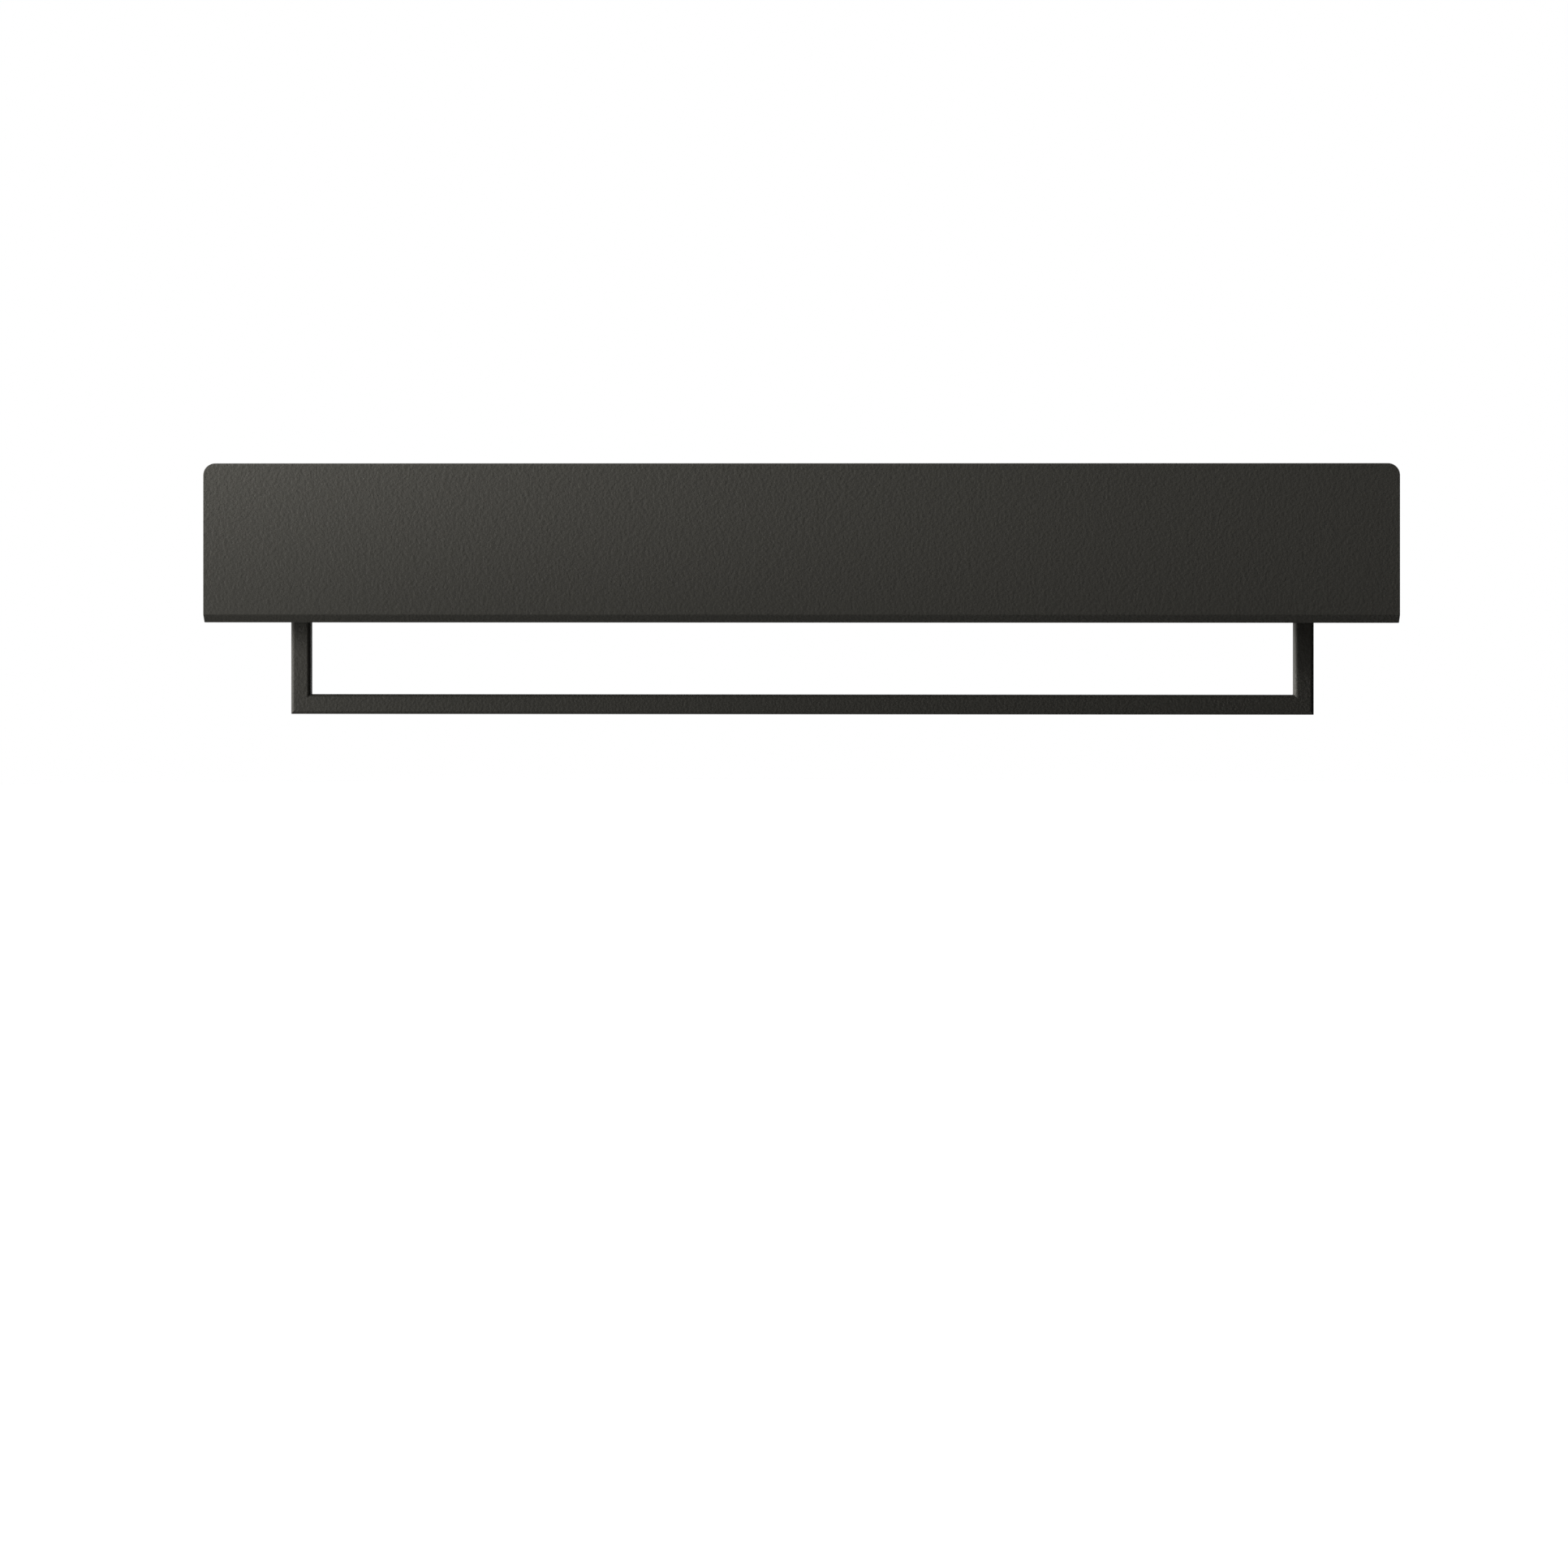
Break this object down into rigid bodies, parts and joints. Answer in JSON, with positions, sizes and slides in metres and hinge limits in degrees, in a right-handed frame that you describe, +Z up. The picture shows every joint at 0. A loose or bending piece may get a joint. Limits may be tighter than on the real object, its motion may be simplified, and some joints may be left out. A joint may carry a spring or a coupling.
{
  "type": "towel rack with shelf",
  "caption": "Wall-hung open sheet-steel shelf with a tall front panel and a mitred square-tube towel rail below it.",
  "frame": {"origin": "on the wall, on the back of the wall flange, halfway between the two wall screws and at their height", "axes": "+X to the right along the shelf as seen from the front, +Y into the wall, +Z up; the front panel faces -Y"},
  "size_m": [0.6, 0.1, 0.128],
  "materials": {
    "powder_coat": "fine-textured matt powder coat",
    "stainless": "turned",
    "zinc_steel": "zinc-plated"
  },
  "bodies": {
    "root": {"shelf_body": "powder_coat", "rail_left_post": "powder_coat", "rail_right_post": "powder_coat", "rail_crossbar": "powder_coat", "rail_left_insert": "zinc_steel", "rail_right_insert": "zinc_steel", "rail_left_screw": "stainless", "rail_right_screw": "stainless", "rail_left_washer": "stainless", "rail_right_washer": "stainless"}
  },
  "joints": []
}
